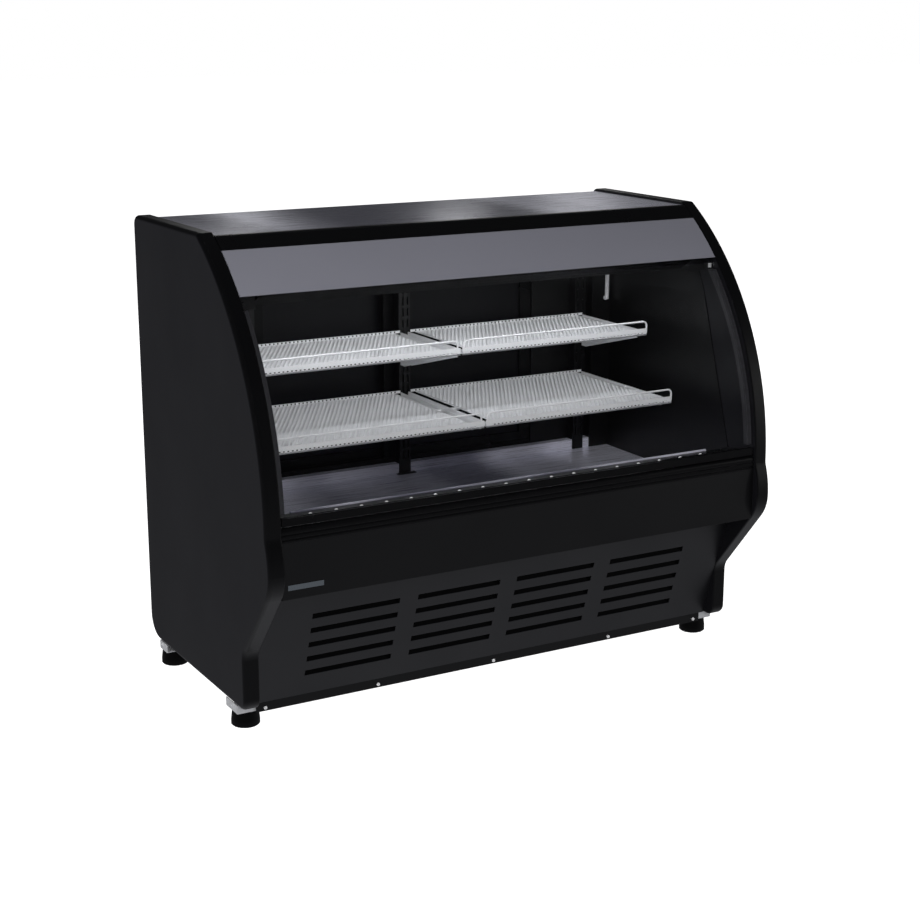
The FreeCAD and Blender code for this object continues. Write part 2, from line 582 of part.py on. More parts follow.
# ---------------------------------------------------------------- shelves
def slotted_upright(name, x, columns):
    """A square-sided upright with columns of bracket slots in its front face."""
    blank = box(f"{name}_blank", x, ("post_front_y", "post_rear_y"), ("deck_z - deck_thickness", "ceiling_z"))
    slots = []
    for column in columns:
        for level in range(18):
            low = f"step_z + 14 + slot_pitch * {level}"
            slots.append(box("bracket_slot", (f"{column} - slot_width / 2", f"{column} + slot_width / 2"),
                             ("post_front_y - 1", "post_front_y + 6"), (low, f"{low} + slot_height")))
    return cut(name, blank, slots)


def shelf_arm(name, x, front, top):
    """A bracket plate beside a shelf's end, deep at the upright and slim at the front."""
    return section(name, [
        ("post_front_y", top), (f"{front} + 12", top), (f"{front} + 12", f"{top} - arm_nose"),
        (f"{front} + 45", f"{top} - arm_nose"), (f"{front} + 45", f"{top} - arm_step"),
        ("post_front_y - 23", f"{top} - arm_depth"), ("post_front_y", f"{top} - arm_depth")], x)


def rounded_wire(corners, bends):
    """A path of straight runs through corners, each inner corner rounded by its own bend."""
    edges = []
    start = corners[0]
    for before, corner, after, bend in zip(corners, corners[1:], corners[2:], bends):
        back = (before - corner).normalize()
        ahead = (after - corner).normalize()
        middle = corner + (back + ahead) * bend * (1 - math.sqrt(0.5))
        edges.append(Part.makeLine(start, corner + back * bend))
        edges.append(Part.Arc(corner + back * bend, middle, corner + ahead * bend).toShape())
        start = corner + ahead * bend
    edges.append(Part.makeLine(start, corners[-1]))
    return Part.Wire(edges)


def shelf_rail(name, left, right, y, top):
    """The round wire above a shelf's front edge, its ends bent down and in behind the lip."""
    bend, foot_bend, foot = size("wire_bend"), size("wire_foot_bend"), size("wire_foot")
    high, low = top + size("wire_rise"), top - size("wire_drop")
    path = rounded_wire([
        Vector(left + foot, y, low), Vector(left, y, low), Vector(left, y, high),
        Vector(right, y, high), Vector(right, y, low), Vector(right - foot, y, low)],
        [foot_bend, bend, bend, foot_bend])
    ring = Part.Wire([Part.makeCircle(size("wire_radius"), Vector(left + foot, y, low), Vector(1, 0, 0))])
    item = doc.addObject("Part::Feature", name)
    item.Shape = path.makePipeShell([ring], True, True)
    return node(item, name)


def mirrored(low, high, sign):
    """A pair of x limits, taken to the left side where the sign is negative."""
    return (low, high) if sign > 0 else (f"-({high})", f"-({low})")


def shelf_frame(tier, side, sign):
    """The two brackets beside one shelf, and the round bar between them that it rests on."""
    top, front = f"{tier}_shelf_z", f"{tier}_shelf_front_y"
    plates = []
    for low in ("arm_inner_x", "arm_outer_x"):
        x = mirrored(low, f"{low} + arm_thickness", sign)
        plates.append(shelf_arm(f"arm_{tier}_{side}", x, front, top))
    bar_z = f"{top} - shelf_thickness - bar_radius - 0.1"
    start = "arm_inner_x + arm_thickness + gap" if sign > 0 else "gap - arm_outer_x"
    length = "arm_outer_x - arm_inner_x - arm_thickness - 2 * gap"
    return plates + [rod("shelf_bar", "bar_radius", length, (start, f"{tier}_bar_y", bar_z), "x")]


def shelf(tier, side, sign):
    """One shelf: a flat sheet with a standing lip in front and a low flange behind."""
    top, front = f"{tier}_shelf_z", f"{tier}_shelf_front_y"
    under = f"{top} - shelf_thickness"
    plate = box("shelf_plate", mirrored("mesh_inner_x", "mesh_outer_x", sign), (front, "shelf_rear_y"),
                (under, top))
    lip = box("shelf_lip", mirrored("lip_inner_x", "lip_outer_x", sign),
              (front, f"{front} + shelf_thickness"), (f"{top} - shelf_lip_drop", f"{top} + shelf_lip_rise"))
    flange = box("shelf_flange", mirrored("flange_inner_x", "flange_outer_x", sign),
                 ("shelf_rear_y - shelf_thickness", "shelf_rear_y"), (under, f"{top} + flange_rise"))
    return fuse(f"shelf_{tier}_{side}", [plate, lip, flange])


def shelves():
    """Two tiers of two shelves on brackets, with the uprights that carry them."""
    post = slotted_upright("centre_post", ("-centre_post_half", "centre_post_half"),
                           ("slot_left_x", "slot_right_x"))
    node(post, "centre_post")
    middle = "(standard_inner_x + standard_outer_x) / 2"
    node(group("shelf_standards", [
        slotted_upright("standard_left", ("-standard_outer_x", "-standard_inner_x"),
                        (f"-{middle} - side_slot_spread", f"-{middle} + side_slot_spread")),
        slotted_upright("standard_right", ("standard_inner_x", "standard_outer_x"),
                        (f"{middle} - side_slot_spread", f"{middle} + side_slot_spread"))]), "shelf_standards")
    frames = []
    for tier in ("upper", "lower"):
        for side, sign in SIDES:
            node(shelf(tier, side, sign), f"shelf_{tier}_{side}")
            ends = sorted((sign * size("wire_inner_x"), sign * size("wire_outer_x")))
            shelf_rail(f"shelf_rail_{tier}_{side}", *ends,
                       size(f"{tier}_shelf_front_y") + size("wire_offset"), size(f"{tier}_shelf_z"))
            frames += shelf_frame(tier, side, sign)
    node(group("shelf_brackets", frames), "shelf_brackets")
    node(fuse("sensor_sleeve", [
        rod("sleeve_tube", "6", "ceiling_z - 918", ("post_inner_x + 48", "post_front_y - 7", "918")),
        rod("sleeve_foot", "6", "8", ("post_inner_x + 40", "post_front_y - 7", "922"), "x")]), "sensor_sleeve")


# ---------------------------------------------------------------- base and feet
def hex_head(name, radius, thickness, start, along):
    """A six-sided bolt head or nut that stands from its start along an axis."""
    item = doc.addObject("Part::Prism", name)
    item.Polygon = 6
    bind(item, "Circumradius", radius)
    bind(item, "Height", thickness)
    item.Placement = FreeCAD.Placement(Vector(), TURNS[along])
    place(item, start)
    return item


def base():
    """Floor pan with its front and rear rails, foot brackets, feet and fasteners."""
    drain_hole = rod("drain_hole", "drain_radius + 3", "20", ("drain_x", "drain_y", "base_z - 5"))
    rail = ("-rail_half", "rail_half")
    pan = box("floor_pan", ("-base_half", "base_half"), ("base_front_y", "base_rear_y - 30"),
              ("base_z", "base_z + base_thickness"))
    node(group("base_frame", [
        cut("drained_pan", pan, [drain_hole]),
        box("front_rail", rail, ("base_front_y", "base_front_y + base_thickness"), ("rail_bottom", "base_z")),
        box("rear_rail", rail, ("base_rear_y - 33", "base_rear_y - 30"), ("rail_bottom", "base_z"))]),
        "base_frame")
    screws = [rod("rail_screw", "4.5", "2.5", (x, "base_front_y - 2.5", "rail_bottom + 9"), "y")
              for x in ("-672", "-351", "1", "378", "676")]
    node(group("base_rail_screws", screws), "base_rail_screws")
    brackets, bolts = [], []
    for side, sign in SIDES:
        for end, y, outward in (("front", "foot_front_y", -1), ("rear", "foot_rear_y", 1)):
            x = f"{sign} * foot_x"
            span_x = (f"{x} - bracket_half", f"{x} + bracket_half")
            reach = ("bracket_half", "bracket_half") if end == "front" else ("bracket_half", "15")
            span_y = (f"{y} - {reach[0]}", f"{y} + {reach[1]}")
            plate = box("bracket_plate", span_x, span_y, ("bracket_z", "bracket_z + bracket_thickness"))
            wall_z = ("bracket_z", "base_z")
            outer_x = (f"{span_x[1]} - bracket_thickness", span_x[1])
            if sign < 0:
                outer_x = (span_x[0], f"{span_x[0]} + bracket_thickness")
            end_y = (f"{span_y[1]} - bracket_thickness", span_y[1])
            if outward < 0:
                end_y = (span_y[0], f"{span_y[0]} + bracket_thickness")
            walls = [box("bracket_side", outer_x, span_y, wall_z), box("bracket_end", span_x, end_y, wall_z)]
            bore = rod("stud_bore", "stud_radius + stud_clearance", "20", (x, y, "bracket_z - 10"))
            brackets.append(cut("foot_bracket", fuse("bracket_blank", [plate] + walls), [bore]))
            start = f"{x} + bracket_half" if sign > 0 else f"{x} - bracket_half - 4"
            bolts.append(hex_head("bracket_bolt", "5", "4", (start, y, "bracket_z + 12"), "x"))
            foot = turned(f"foot_{end}_{side}", [
                ("0", "0"), ("foot_radius - 3", "0"), ("foot_radius", "3"), ("foot_radius", "14"),
                ("foot_radius - 3", "foot_height"), ("stud_radius", "foot_height"),
                ("stud_radius", "stud_top_z"), ("0", "stud_top_z")], (x, y, "0"))
            node(foot, f"foot_{end}_{side}")
    node(group("foot_brackets", brackets), "foot_brackets")
    node(group("foot_bolts", bolts), "foot_bolts")
    panel = box("service_blank", ("-inner_half", "inner_half"),
                ("service_y", "service_y + service_thickness"),
                ("panel_bottom_z + 2", "well_bottom_z"))
    vents = []
    for level in range(6):
        low = f"panel_bottom_z + 40 + 30 * {level}"
        for x in (("-560", "-330"), ("-290", "-60"), ("-20", "210")):
            vents.append(box("vent", x, ("service_y - 1", "service_y + service_thickness + 1"),
                             (low, f"{low} + 12")))
    node(cut("rear_service_panel", panel, vents), "rear_service_panel")


# ---------------------------------------------------------------- machinery
def bladed_rotor(name, blades, hub, tip, width, lean, shaft):
    """A fan rotor about Z: hub, shaft and flat blades leaning about their own length."""
    pieces = [Part.makeCylinder(hub, width), Part.makeCylinder(shaft, width + 12, Vector(0, 0, -12))]
    for index in range(blades):
        blade = Part.makeBox(tip - hub + 3, 2, width, Vector(hub - 3, -1, -width / 2))
        blade.rotate(Vector(), Vector(1, 0, 0), lean)
        blade.translate(Vector(0, 0, width / 2))
        blade.rotate(Vector(), Vector(0, 0, 1), 360 * index / blades)
        pieces.append(blade)
    item = doc.addObject("Part::Feature", name)
    item.Shape = pieces[0].multiFuse(pieces[1:]).removeSplitter()
    return item


def machinery():
    """Compressor, condenser with its fan, and the evaporator with its cross-flow blower."""
    node(turned("compressor", [
        ("0", "0"), ("compressor_radius + 15", "0"), ("compressor_radius + 15", "8"),
        ("compressor_radius", "8"), ("compressor_radius", "compressor_height - 40"),
        ("compressor_radius - 30", "compressor_height - 8"), ("28", "compressor_height"),
        ("0", "compressor_height")],
        ("compressor_x", "compressor_y", "base_z + base_thickness")), "compressor")
    x = ("condenser_x - condenser_half_width", "condenser_x + condenser_half_width")
    y = ("condenser_y", "condenser_y + condenser_depth")
    floor = "base_z + base_thickness"
    z = (floor, f"{floor} + condenser_height")
    hub_z = size("base_z") + size("base_thickness") + size("condenser_height") / 2
    node(box("condenser_coil", x, y, z), "condenser_coil")
    shroud = box("shroud", x, (y[1], f"{y[1]} + 40"), z)
    centre = ("condenser_x", y[1], f"{floor} + condenser_height / 2")
    throat = rod("throat", "fan_radius + 6", "60", (centre[0], f"{y[1]} - 10", centre[2]), "y")
    shroud = cut("fan_shroud", shroud, [throat])
    fan = bladed_rotor("condenser_fan", 5, size("fan_hub_radius"), size("fan_radius"), 18, 30,
                       size("fan_shaft_radius"))
    fan.Placement = FreeCAD.Placement(
        Vector(size("condenser_x"), size("condenser_y") + size("condenser_depth") + 26, hub_z),
        Rotation(Vector(1, 0, 0), 90))
    node(fan, "condenser_fan")
    motor_y = f"{y[1]} + 38.06"
    motor = rod("motor_can", "34", "52", (centre[0], motor_y, centre[2]), "y")
    shaft_hole = rod("motor_bore", "fan_shaft_radius + 0.06", "14",
                     (centre[0], f"{motor_y} - 1", centre[2]), "y")
    stand = box("motor_stand", ("condenser_x - 16", "condenser_x + 16"),
                (f"{motor_y} + 4", f"{motor_y} + 48"), (floor, f"{floor} + condenser_height / 2 - 20"))
    motor = cut("fan_motor", fuse("motor_blank", [motor, stand]), [shaft_hole])
    node(group("condenser_fan_mount", [shroud, motor]), "condenser_fan_mount")
    node(box("evaporator_coil", ("-coil_half", "coil_half"), ("coil_front_y", "coil_rear_y"),
             ("coil_bottom_z", "coil_top_z")), "evaporator_coil")
    blower = doc.addObject("Part::Feature", "evaporator_blower")
    half, radius = size("blower_half"), size("blower_radius")
    discs = [Part.makeCylinder(radius, 3, Vector(0, 0, z)) for z in (-half, -half / 2, 0, half / 2, half - 3)]
    vanes = []
    for index in range(18):
        vane = Part.makeBox(8, 1.2, 2 * half - 4, Vector(radius - 9, -0.6, -half + 2))
        vane.rotate(Vector(radius - 5, 0, 0), Vector(0, 0, 1), 25)
        vane.rotate(Vector(), Vector(0, 0, 1), 20 * index)
        vanes.append(vane)
    shaft = Part.makeCylinder(4, 2 * half + 24, Vector(0, 0, -half - 12))
    blower.Shape = shaft.multiFuse(discs + vanes)
    blower.Placement = FreeCAD.Placement(Vector(0, size("blower_y"), size("blower_z")), TURNS["x"])
    node(blower, "evaporator_blower")
    mounts = []
    for side, sign in SIDES:
        inner, outer = f"{sign} * (blower_half + 4)", f"{sign} * (blower_half + 34)"
        x = (inner, outer) if sign > 0 else (outer, inner)
        block = box("blower_block", x, ("blower_y - 18", "blower_y + 18"),
                    ("well_floor_z", "blower_z + 18"))
        bore = rod("blower_bore", "4.06", "12", (f"{inner} - 1" if sign > 0 else f"{inner} - 11",
                                                  "blower_y", "blower_z"), "x")
        mounts.append(cut(f"blower_bearing_{side}", block, [bore]))
    node(group("blower_motor_mounts", mounts), "blower_mounts")
    pipe = rod("drain_outer", "drain_radius", "well_bottom_z - 45", ("drain_x", "drain_y", "45"))
    core = rod("drain_core", "drain_radius - drain_wall", "well_bottom_z", ("drain_x", "drain_y", "40"))
    node(cut("drain_pipe", pipe, [core]), "drain_pipe")


def controls():
    """Control plate with thermostat knob and rocker switch, and the power inlet."""
    face = "control_face_y"
    plate = box("plate_blank", ("control_x - control_half_width", "control_x + control_half_width"),
                ("service_y + service_thickness", face),
                ("control_z - control_half_height - 40", "control_z + control_half_height - 40"))
    z = "control_z - 40"
    knob_hole = rod("knob_hole", "4.06", "8", ("control_x - 45", f"{face} - 5", z), "y")
    window = box("switch_window", ("control_x + 45 - switch_half - gap", "control_x + 45 + switch_half + gap"),
                 (f"{face} - 4.5", f"{face} + 1"), (f"{z} - 15.3", f"{z} + 15.3"))
    pin_reach = "switch_half + gap + 1.5"
    pin_bore = rod("rocker_bore", "rocker_pin_radius + 0.06", f"2 * ({pin_reach})",
                   (f"control_x + 45 - ({pin_reach})", f"{face} - rocker_depth", z), "x")
    node(cut("control_plate", plate, [knob_hole, window, pin_bore]), "control_plate")
    knob = doc.addObject("Part::Feature", "thermostat_knob")
    radius = size("knob_radius")
    body = Part.makeCylinder(radius, 11, Vector(0, 0, 0.4))
    body = body.makeFillet(1.5, [edge for edge in body.Edges if edge.BoundBox.ZMin > 11])
    stem = Part.makeCylinder(4, 5, Vector(0, 0, -4.5))
    pointer = Part.makeBox(3, radius - 3, 1.6, Vector(-1.5, 2, 11))
    knob.Shape = body.multiFuse([stem, pointer])
    at = Vector(size("control_x") - 45, size("control_face_y"), size("control_z") - 40)
    knob.Placement = FreeCAD.Placement(at, TURNS["y"])
    node(knob, "thermostat_knob")
    rocker = section("rocker_body", [
        ("1.3", "-14"), ("6", "-13.8"), ("4.2", "0"), ("3.4", "14.6"), ("-2.1", "14.2"), ("-2.1", "0")],
        ("-switch_half", "switch_half"))
    pins = rod("rocker_pins", "rocker_pin_radius", "2 * switch_half + 3", ("-switch_half - 1.5", "0", "0"), "x")
    switch = fuse("power_switch", [rocker, pins])
    place(switch, ("control_x + 45", f"{face} - rocker_depth", z))
    node(switch, "power_switch")
    node(cut("power_inlet", fuse("inlet_blank", [
        box("inlet_flange", ("600", "650"), ("service_y + service_thickness", face), ("120", "150")),
        box("inlet_body", ("608", "642"), ("service_y + service_thickness", "control_face_y + 6"),
            ("124", "146"))]),
        [box("inlet_socket", ("611", "639"), ("control_face_y - 3", "control_face_y + 7"),
             ("127", "143"))]), "power_inlet")


def main():
    """Build every sub-part, check it and write it."""
    for make in (side_panels, canopy, front_glass, front_panels, well, back_frame, doors, shelves, base,
                 machinery, controls):
        make()
    doc.recompute()
    for item in doc.Objects:
        if {"Invalid", "Error"} & set(item.State):
            raise RuntimeError(f"{item.Name} ({item.Label}) failed: {item.State}")
    os.makedirs("parts", exist_ok=True)
    for item in nodes:
        if item.Shape.isNull() or not item.Shape.isValid() or item.Shape.Volume <= 0:
            raise RuntimeError(f"{item.Label} has no valid shape")
        item.Shape.exportStep(f"parts/{item.Label}.step")
    print(len(nodes), "sub-parts written")


main()
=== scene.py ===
import json
import math

import bmesh
import bpy
from mathutils import Euler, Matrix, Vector

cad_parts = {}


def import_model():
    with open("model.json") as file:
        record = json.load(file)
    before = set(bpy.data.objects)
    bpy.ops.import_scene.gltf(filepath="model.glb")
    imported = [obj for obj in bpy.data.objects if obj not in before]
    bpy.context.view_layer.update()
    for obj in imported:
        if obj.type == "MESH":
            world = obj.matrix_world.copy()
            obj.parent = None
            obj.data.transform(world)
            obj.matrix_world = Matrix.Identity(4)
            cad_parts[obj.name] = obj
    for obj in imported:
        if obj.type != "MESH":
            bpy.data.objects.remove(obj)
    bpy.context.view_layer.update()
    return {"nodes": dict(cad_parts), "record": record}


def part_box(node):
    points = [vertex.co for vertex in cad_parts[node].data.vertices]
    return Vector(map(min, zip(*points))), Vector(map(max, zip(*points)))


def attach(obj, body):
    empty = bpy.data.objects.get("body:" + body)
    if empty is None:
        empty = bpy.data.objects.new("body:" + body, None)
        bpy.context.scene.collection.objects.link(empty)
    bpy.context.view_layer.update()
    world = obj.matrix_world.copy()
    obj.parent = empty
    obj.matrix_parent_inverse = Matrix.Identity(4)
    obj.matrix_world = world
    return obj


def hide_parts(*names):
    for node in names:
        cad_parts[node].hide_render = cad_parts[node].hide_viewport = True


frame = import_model()
nodes = frame["nodes"]
scene = bpy.context.scene

CASE = "case"
CREASE_DEGREES = 32
WELD = 2e-6

FLOOR_REACH = 40
STUDIO_TONES = ((0.0, 0.6), (0.12, 0.45), (0.33, 0.13), (0.46, 0.12), (0.55, 0.03), (1.0, 0.05))

SHEET_THICKNESS = 0.002
MESH_PITCH = 0.0124
MESH_HOLE_RADIUS = 0.0047
MESH_MARGIN = 0.005
ROW_RATIO = 0.88
LIP_RISE = 0.011
HOLE_PITCH = 0.012
LIP_HOLE = 0.0055
LIP_HOLE_DROP = 0.0055
FLANGE_RISE = 0.007
FLANGE_HOLE = 0.0046
FLANGE_HOLE_RISE = 0.0036
HEM_RADIUS = 0.0024
MESH_INNER_GAP = 0.030
MESH_OUTER_GAP = 0.021
FLANGE_INNER_GAP = 0.014
FLANGE_OUTER_GAP = 0.006

GROOVE_STARTS = (0.005, 0.017)
GROOVE_DEPTH = 0.003
GROOVE_HEIGHT = 0.0035
NOSE_RADIUS = 0.010
LEDGE_THICKNESS = 0.004
NOSE_WALL = 0.008

RIVET_COUNT = 18
RIVET_HEIGHT = 0.0036
RIVET_RIM = 0.25
RIVET_ANGLES = (0.3, 0.6, 0.9, 1.2, 1.45)

GRILLE_TILT = 17.63
GRILLE_FOOT = (0, -0.1959, 0.068)
SLOT_LEVELS = 5
SLOT_BASE = 0.060
SLOT_PITCH = 0.0443
BLADE_OVERLAP = 0.002
BLADE_SECTION = ((0.002, -0.0005), (0.014, 0.013), (0.0152, 0.0122), (0.0032, -0.0016))
SLOT_SPANS = ((-0.571, -0.325), (-0.272, -0.026), (0.026, 0.272), (0.325, 0.571))

PANEL_HEM_RADIUS = 0.0018
FASCIA_HEM_RADIUS = 0.0016
HEM_INSET = 0.001

GLASS_CENTRE_Y, GLASS_CENTRE_Z, GLASS_RADIUS = 0.407, 0.560, 0.7927
BEAD_STEPS = 48
BEAD_SIDES = 10
BEAD_END_GAP = 0.002
BEADS = ((0.0035, 0.0032), (0.0125, 0.0034))

STOP_PLATE_FACES = (0.0012, 0.0002)
STOP_PLATE_SPAN = (0.014, 0.003)
STOP_PLATE_MARGIN = 0.001

DECK_SHEET = 0.003
POST_FLANGE_THICKNESS = 0.003
POST_FLANGE_LIFT = 0.0002
POST_FLANGE_FACES = (0.014, 0.0008)
POST_FLANGE_OVERHANG = 0.012
POST_SCREW_OVERHANG = 0.006
POST_SCREW_REACH = 0.007
POST_SCREW_PROFILE = ((0.004, 0), (0.004, 0.0012), (0.0028, 0.0022), (0.0008, 0.0025))

FIN_THICKNESS = 0.0006
FIN_END_GAP = 0.014
TUBE_PITCH = 0.028
TUBE_RADIUS = 0.0045
TUBE_INSET = 0.002


# ---------------------------------------------------------------- camera, floor and light
def camera():
    """The photograph's viewing angle: 30 degrees to the left of the front, 14.5 degrees down."""
    data = bpy.data.cameras.new("camera")
    data.lens = 68.23
    data.sensor_width = 36
    data.clip_end = 100
    item = bpy.data.objects.new("camera", data)
    item.location = (-2.29492, -4.01245, 1.76748)
    item.rotation_euler = Euler((math.radians(75.479), math.radians(-0.1), math.radians(-29.807)))
    scene.collection.objects.link(item)
    scene.camera = item


def world():
    """White behind the object; in its reflections a dim studio over a paler floor."""
    item = bpy.data.worlds.new("studio")
    scene.world = item
    item.use_nodes = True
    tree = item.node_tree
    tree.nodes.clear()
    out = tree.nodes.new("ShaderNodeOutputWorld")
    seen = tree.nodes.new("ShaderNodeBackground")
    seen.inputs["Color"].default_value = (1, 1, 1, 1)
    lit = tree.nodes.new("ShaderNodeBackground")
    lit.inputs["Color"].default_value = (0.93, 0.94, 1, 1)
    where = tree.nodes.new("ShaderNodeTexCoord")
    split = tree.nodes.new("ShaderNodeSeparateXYZ")
    span = tree.nodes.new("ShaderNodeMapRange")
    span.inputs["From Min"].default_value = -1
    ramp = tree.nodes.new("ShaderNodeValToRGB")
    while len(ramp.color_ramp.elements) < len(STUDIO_TONES):
        ramp.color_ramp.elements.new(0.5)
    for element, (place, value) in zip(ramp.color_ramp.elements, STUDIO_TONES):
        element.position = place
        element.color = (value, value, value, 1)
    tree.links.new(where.outputs["Generated"], split.inputs[0])
    tree.links.new(split.outputs["Z"], span.inputs["Value"])
    tree.links.new(span.outputs["Result"], ramp.inputs[0])
    tree.links.new(ramp.outputs["Color"], lit.inputs["Strength"])
    ray = tree.nodes.new("ShaderNodeLightPath")
    mix = tree.nodes.new("ShaderNodeMixShader")
    tree.links.new(ray.outputs["Is Camera Ray"], mix.inputs[0])
    tree.links.new(lit.outputs[0], mix.inputs[1])
    tree.links.new(seen.outputs[0], mix.inputs[2])
    tree.links.new(mix.outputs[0], out.inputs["Surface"])


def floor():
    """A plain white floor that fades into the white behind it."""
    mesh = bpy.data.meshes.new("floor")
    reach = FLOOR_REACH
    corners = [(-reach, -reach, 0), (reach, -reach, 0), (reach, reach, 0), (-reach, reach, 0)]
    mesh.from_pydata(corners, [], [(0, 1, 2, 3)])
    item = bpy.data.objects.new("floor", mesh)
    scene.collection.objects.link(item)
    material = bpy.data.materials.new("floor_white")
    material.use_nodes = True
    shader = material.node_tree.nodes["Principled BSDF"]
    shader.inputs["Base Color"].default_value = (0.8, 0.8, 0.8, 1)
    shader.inputs["Roughness"].default_value = 0.9
    shader.inputs["Emission Color"].default_value = (1, 1, 1, 1)
    shader.inputs["Emission Strength"].default_value = 1.1
    mesh.materials.append(material)
    item.visible_glossy = False
    item.visible_diffuse = False


def area(name, at, towards, width, height, watts, tint=(1, 1, 1), glossy=True, shadow=True):
    """A soft rectangular light aimed at a point."""
    data = bpy.data.lights.new(name, "AREA")
    data.shape = "RECTANGLE"
    data.size = width
    data.size_y = height
    data.energy = watts
    data.color = tint
    data.use_shadow = shadow
    item = bpy.data.objects.new(name, data)
    item.location = at
    item.rotation_euler = (Vector(towards) - Vector(at)).to_track_quat("-Z", "Y").to_euler()
    item.visible_camera = False
    item.visible_glossy = glossy
    scene.collection.objects.link(item)


def lights():
    """Softboxes on every side, thin strips over the top, and the canopy lamp's own glow."""
    area("key", (-1.6, -5.0, 2.6), (0, 0, 0.7), 3.0, 2.2, 110, glossy=False)
    area("side", (-5.0, -0.6, 2.2), (0, 0, 0.7), 3.0, 2.0, 110, glossy=False)
    area("fill", (-3.2, -3.6, 3.4), (0, 0, 0.8), 3.0, 3.0, 55, glossy=False, shadow=False)
    area("rear_fill", (2.6, 5.0, 1.5), (0, 0.4, 0.6), 2.4, 1.6, 60, glossy=False)
    area("right_fill", (4.2, -3.4, 1.4), (0, 0, 0.8), 0.25, 2.0, 14)
    area("over_left", (0.30, 2.2, 2.45), (-0.62, 0.2, 1.23), 0.14, 1.2, 2.2)
    area("over_middle", (0.95, 1.7, 2.1), (-0.2, 0.2, 1.23), 0.2, 0.9, 1.2)
    area("over_right", (2.3, 2.9, 2.6), (0.25, 0.2, 1.23), 0.3, 1.2, 2.0)
    low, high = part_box("canopy_lamp")
    middle = (low + high) / 2
    area("lamp_glow", (middle.x, middle.y + 0.01, low.z - 0.004), (middle.x, middle.y + 0.16, 0.62),
         high.x - low.x, 0.02, 1.3, (0.95, 0.97, 1))


# ---------------------------------------------------------------- materials
def start(name):
    """A fresh material with its tree and its main shader."""
    material = bpy.data.materials.new(name)
    material.use_nodes = True
    tree = material.node_tree
    return material, tree, tree.nodes["Principled BSDF"]


def noise(tree, scale, stretch=(1, 1, 1), detail=3.0):
    """Noise over the object's own coordinates, stretched by axis."""
    where = tree.nodes.new("ShaderNodeTexCoord")
    mapping = tree.nodes.new("ShaderNodeMapping")
    mapping.inputs["Scale"].default_value = stretch
    texture = tree.nodes.new("ShaderNodeTexNoise")
    texture.inputs["Scale"].default_value = scale
    texture.inputs["Detail"].default_value = detail
    tree.links.new(where.outputs["Object"], mapping.inputs["Vector"])
    tree.links.new(mapping.outputs["Vector"], texture.inputs["Vector"])
    return texture.outputs["Fac"]


def spread(tree, source, low, high, target):
    """Send a noise value to a socket as a range."""
    span = tree.nodes.new("ShaderNodeMapRange")
    span.inputs["From Min"].default_value = 0.3
    span.inputs["From Max"].default_value = 0.7
    span.inputs["To Min"].default_value = low
    span.inputs["To Max"].default_value = high
    tree.links.new(source, span.inputs["Value"])
    tree.links.new(span.outputs["Result"], target)


def tinted(tree, source, dark, light, target):
    """Mix two colours by a noise value."""
    mix = tree.nodes.new("ShaderNodeMix")
    mix.data_type = "RGBA"
    mix.inputs[6].default_value = (*dark, 1)
    mix.inputs[7].default_value = (*light, 1)
    tree.links.new(source, mix.inputs[0])
    tree.links.new(mix.outputs[2], target)


def surface(name, colour, roughness, metallic=0.0, specular=0.5, grain=900, depth=0.00004,
            patch=4, tint=0.18, wander=0.05, edge=0.0012, stretch=(1, 1, 1), coat=0.0):
    """A finish with fine grain, slow changes of tone and softened edges."""
    material, tree, shader = start(name)
    slow = noise(tree, patch)
    fine = noise(tree, grain, stretch, 2.0)
    dark = [value * (1 - tint) for value in colour]
    light = [value * (1 + tint) for value in colour]
    tinted(tree, slow, dark, light, shader.inputs["Base Color"])
    spread(tree, slow, roughness - wander, roughness + wander, shader.inputs["Roughness"])
    shader.inputs["Metallic"].default_value = metallic
    shader.inputs["Specular IOR Level"].default_value = specular
    shader.inputs["Coat Weight"].default_value = coat
    shader.inputs["Coat Roughness"].default_value = 0.12
    bump = tree.nodes.new("ShaderNodeBump")
    bump.inputs["Strength"].default_value = 0.5
    bump.inputs["Distance"].default_value = depth
    tree.links.new(fine, bump.inputs["Height"])
    if edge:
        soft = tree.nodes.new("ShaderNodeBevel")
        soft.samples = 4
        soft.inputs["Radius"].default_value = edge
        tree.links.new(soft.outputs["Normal"], bump.inputs["Normal"])
    tree.links.new(bump.outputs["Normal"], shader.inputs["Normal"])
    return material


def thin_glass(name, tint, shine):
    """Clear sheet glass: a faint mirror that strengthens at a slant."""
    material, tree, shader = start(name)
    smear = noise(tree, 7, (1, 1, 0.3))
    spread(tree, smear, 0.02, 0.06, shader.inputs["Roughness"])
    tinted(tree, smear, [value * 0.94 for value in tint], tint, shader.inputs["Base Color"])
    shader.inputs["Metallic"].default_value = 1.0
    slant = tree.nodes.new("ShaderNodeFresnel")
    slant.inputs["IOR"].default_value = 1.45
    span = tree.nodes.new("ShaderNodeMapRange")
    span.inputs["To Max"].default_value = shine
    tree.links.new(slant.outputs["Fac"], span.inputs["Value"])
    tree.links.new(span.outputs["Result"], shader.inputs["Alpha"])
    return material


def glowing(name, colour, strength):
    """A frosted tube that glows."""
    material, tree, shader = start(name)
    frost = noise(tree, 60, (0.2, 1, 1))
    tinted(tree, frost, [value * 0.92 for value in colour], colour, shader.inputs["Base Color"])
    tinted(tree, frost, [value * 0.92 for value in colour], colour, shader.inputs["Emission Color"])
    shader.inputs["Emission Strength"].default_value = strength
    spread(tree, frost, 0.35, 0.5, shader.inputs["Roughness"])
    return material


